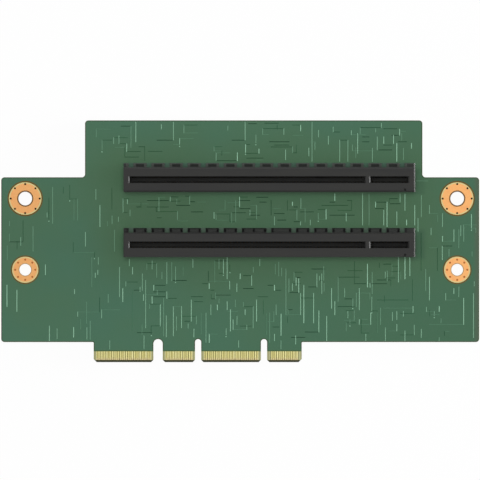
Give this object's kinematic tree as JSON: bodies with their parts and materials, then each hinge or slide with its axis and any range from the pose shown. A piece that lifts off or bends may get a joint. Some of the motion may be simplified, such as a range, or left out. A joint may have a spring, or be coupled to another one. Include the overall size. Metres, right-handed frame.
{
  "type": "pcie riser card",
  "caption": "Stepped green riser card with long card slots on its face, copper-ringed mounting holes and a notched edge of gold contacts.",
  "frame": {"origin": "below the middle of the card's outline, at the level of the back copper that it lies on", "axes": "+X along the card's width, towards the short sections of its slots; +Y in the card's plane, away from the card edge; +Z out of its front, the way the slot mouths face"},
  "size_m": [0.1466, 0.0742, 0.0129],
  "materials": {
    "solder_mask": "satin",
    "copper": "satin",
    "gold": "polished",
    "housing": "matte",
    "contact": "polished"
  },
  "bodies": {
    "root": {"pcb": "solder_mask", "upper_front_lands": "copper", "upper_back_lands": "copper", "lower_front_lands": "copper", "lower_back_lands": "copper", "tab_1_front_fingers": "gold", "tab_1_back_fingers": "gold", "tab_2_front_fingers": "gold", "tab_2_back_fingers": "gold", "tab_3_front_fingers": "gold", "tab_3_back_fingers": "gold", "tab_4_front_fingers": "gold", "tab_4_back_fingers": "gold", "upper_slot_housing": "housing", "upper_slot_long_contacts_a": "contact", "upper_slot_short_contacts_a": "contact", "upper_slot_long_contacts_b": "contact", "upper_slot_short_contacts_b": "contact", "lower_slot_housing": "housing", "lower_slot_long_contacts_a": "contact", "lower_slot_short_contacts_a": "contact", "lower_slot_long_contacts_b": "contact", "lower_slot_short_contacts_b": "contact"}
  },
  "joints": []
}
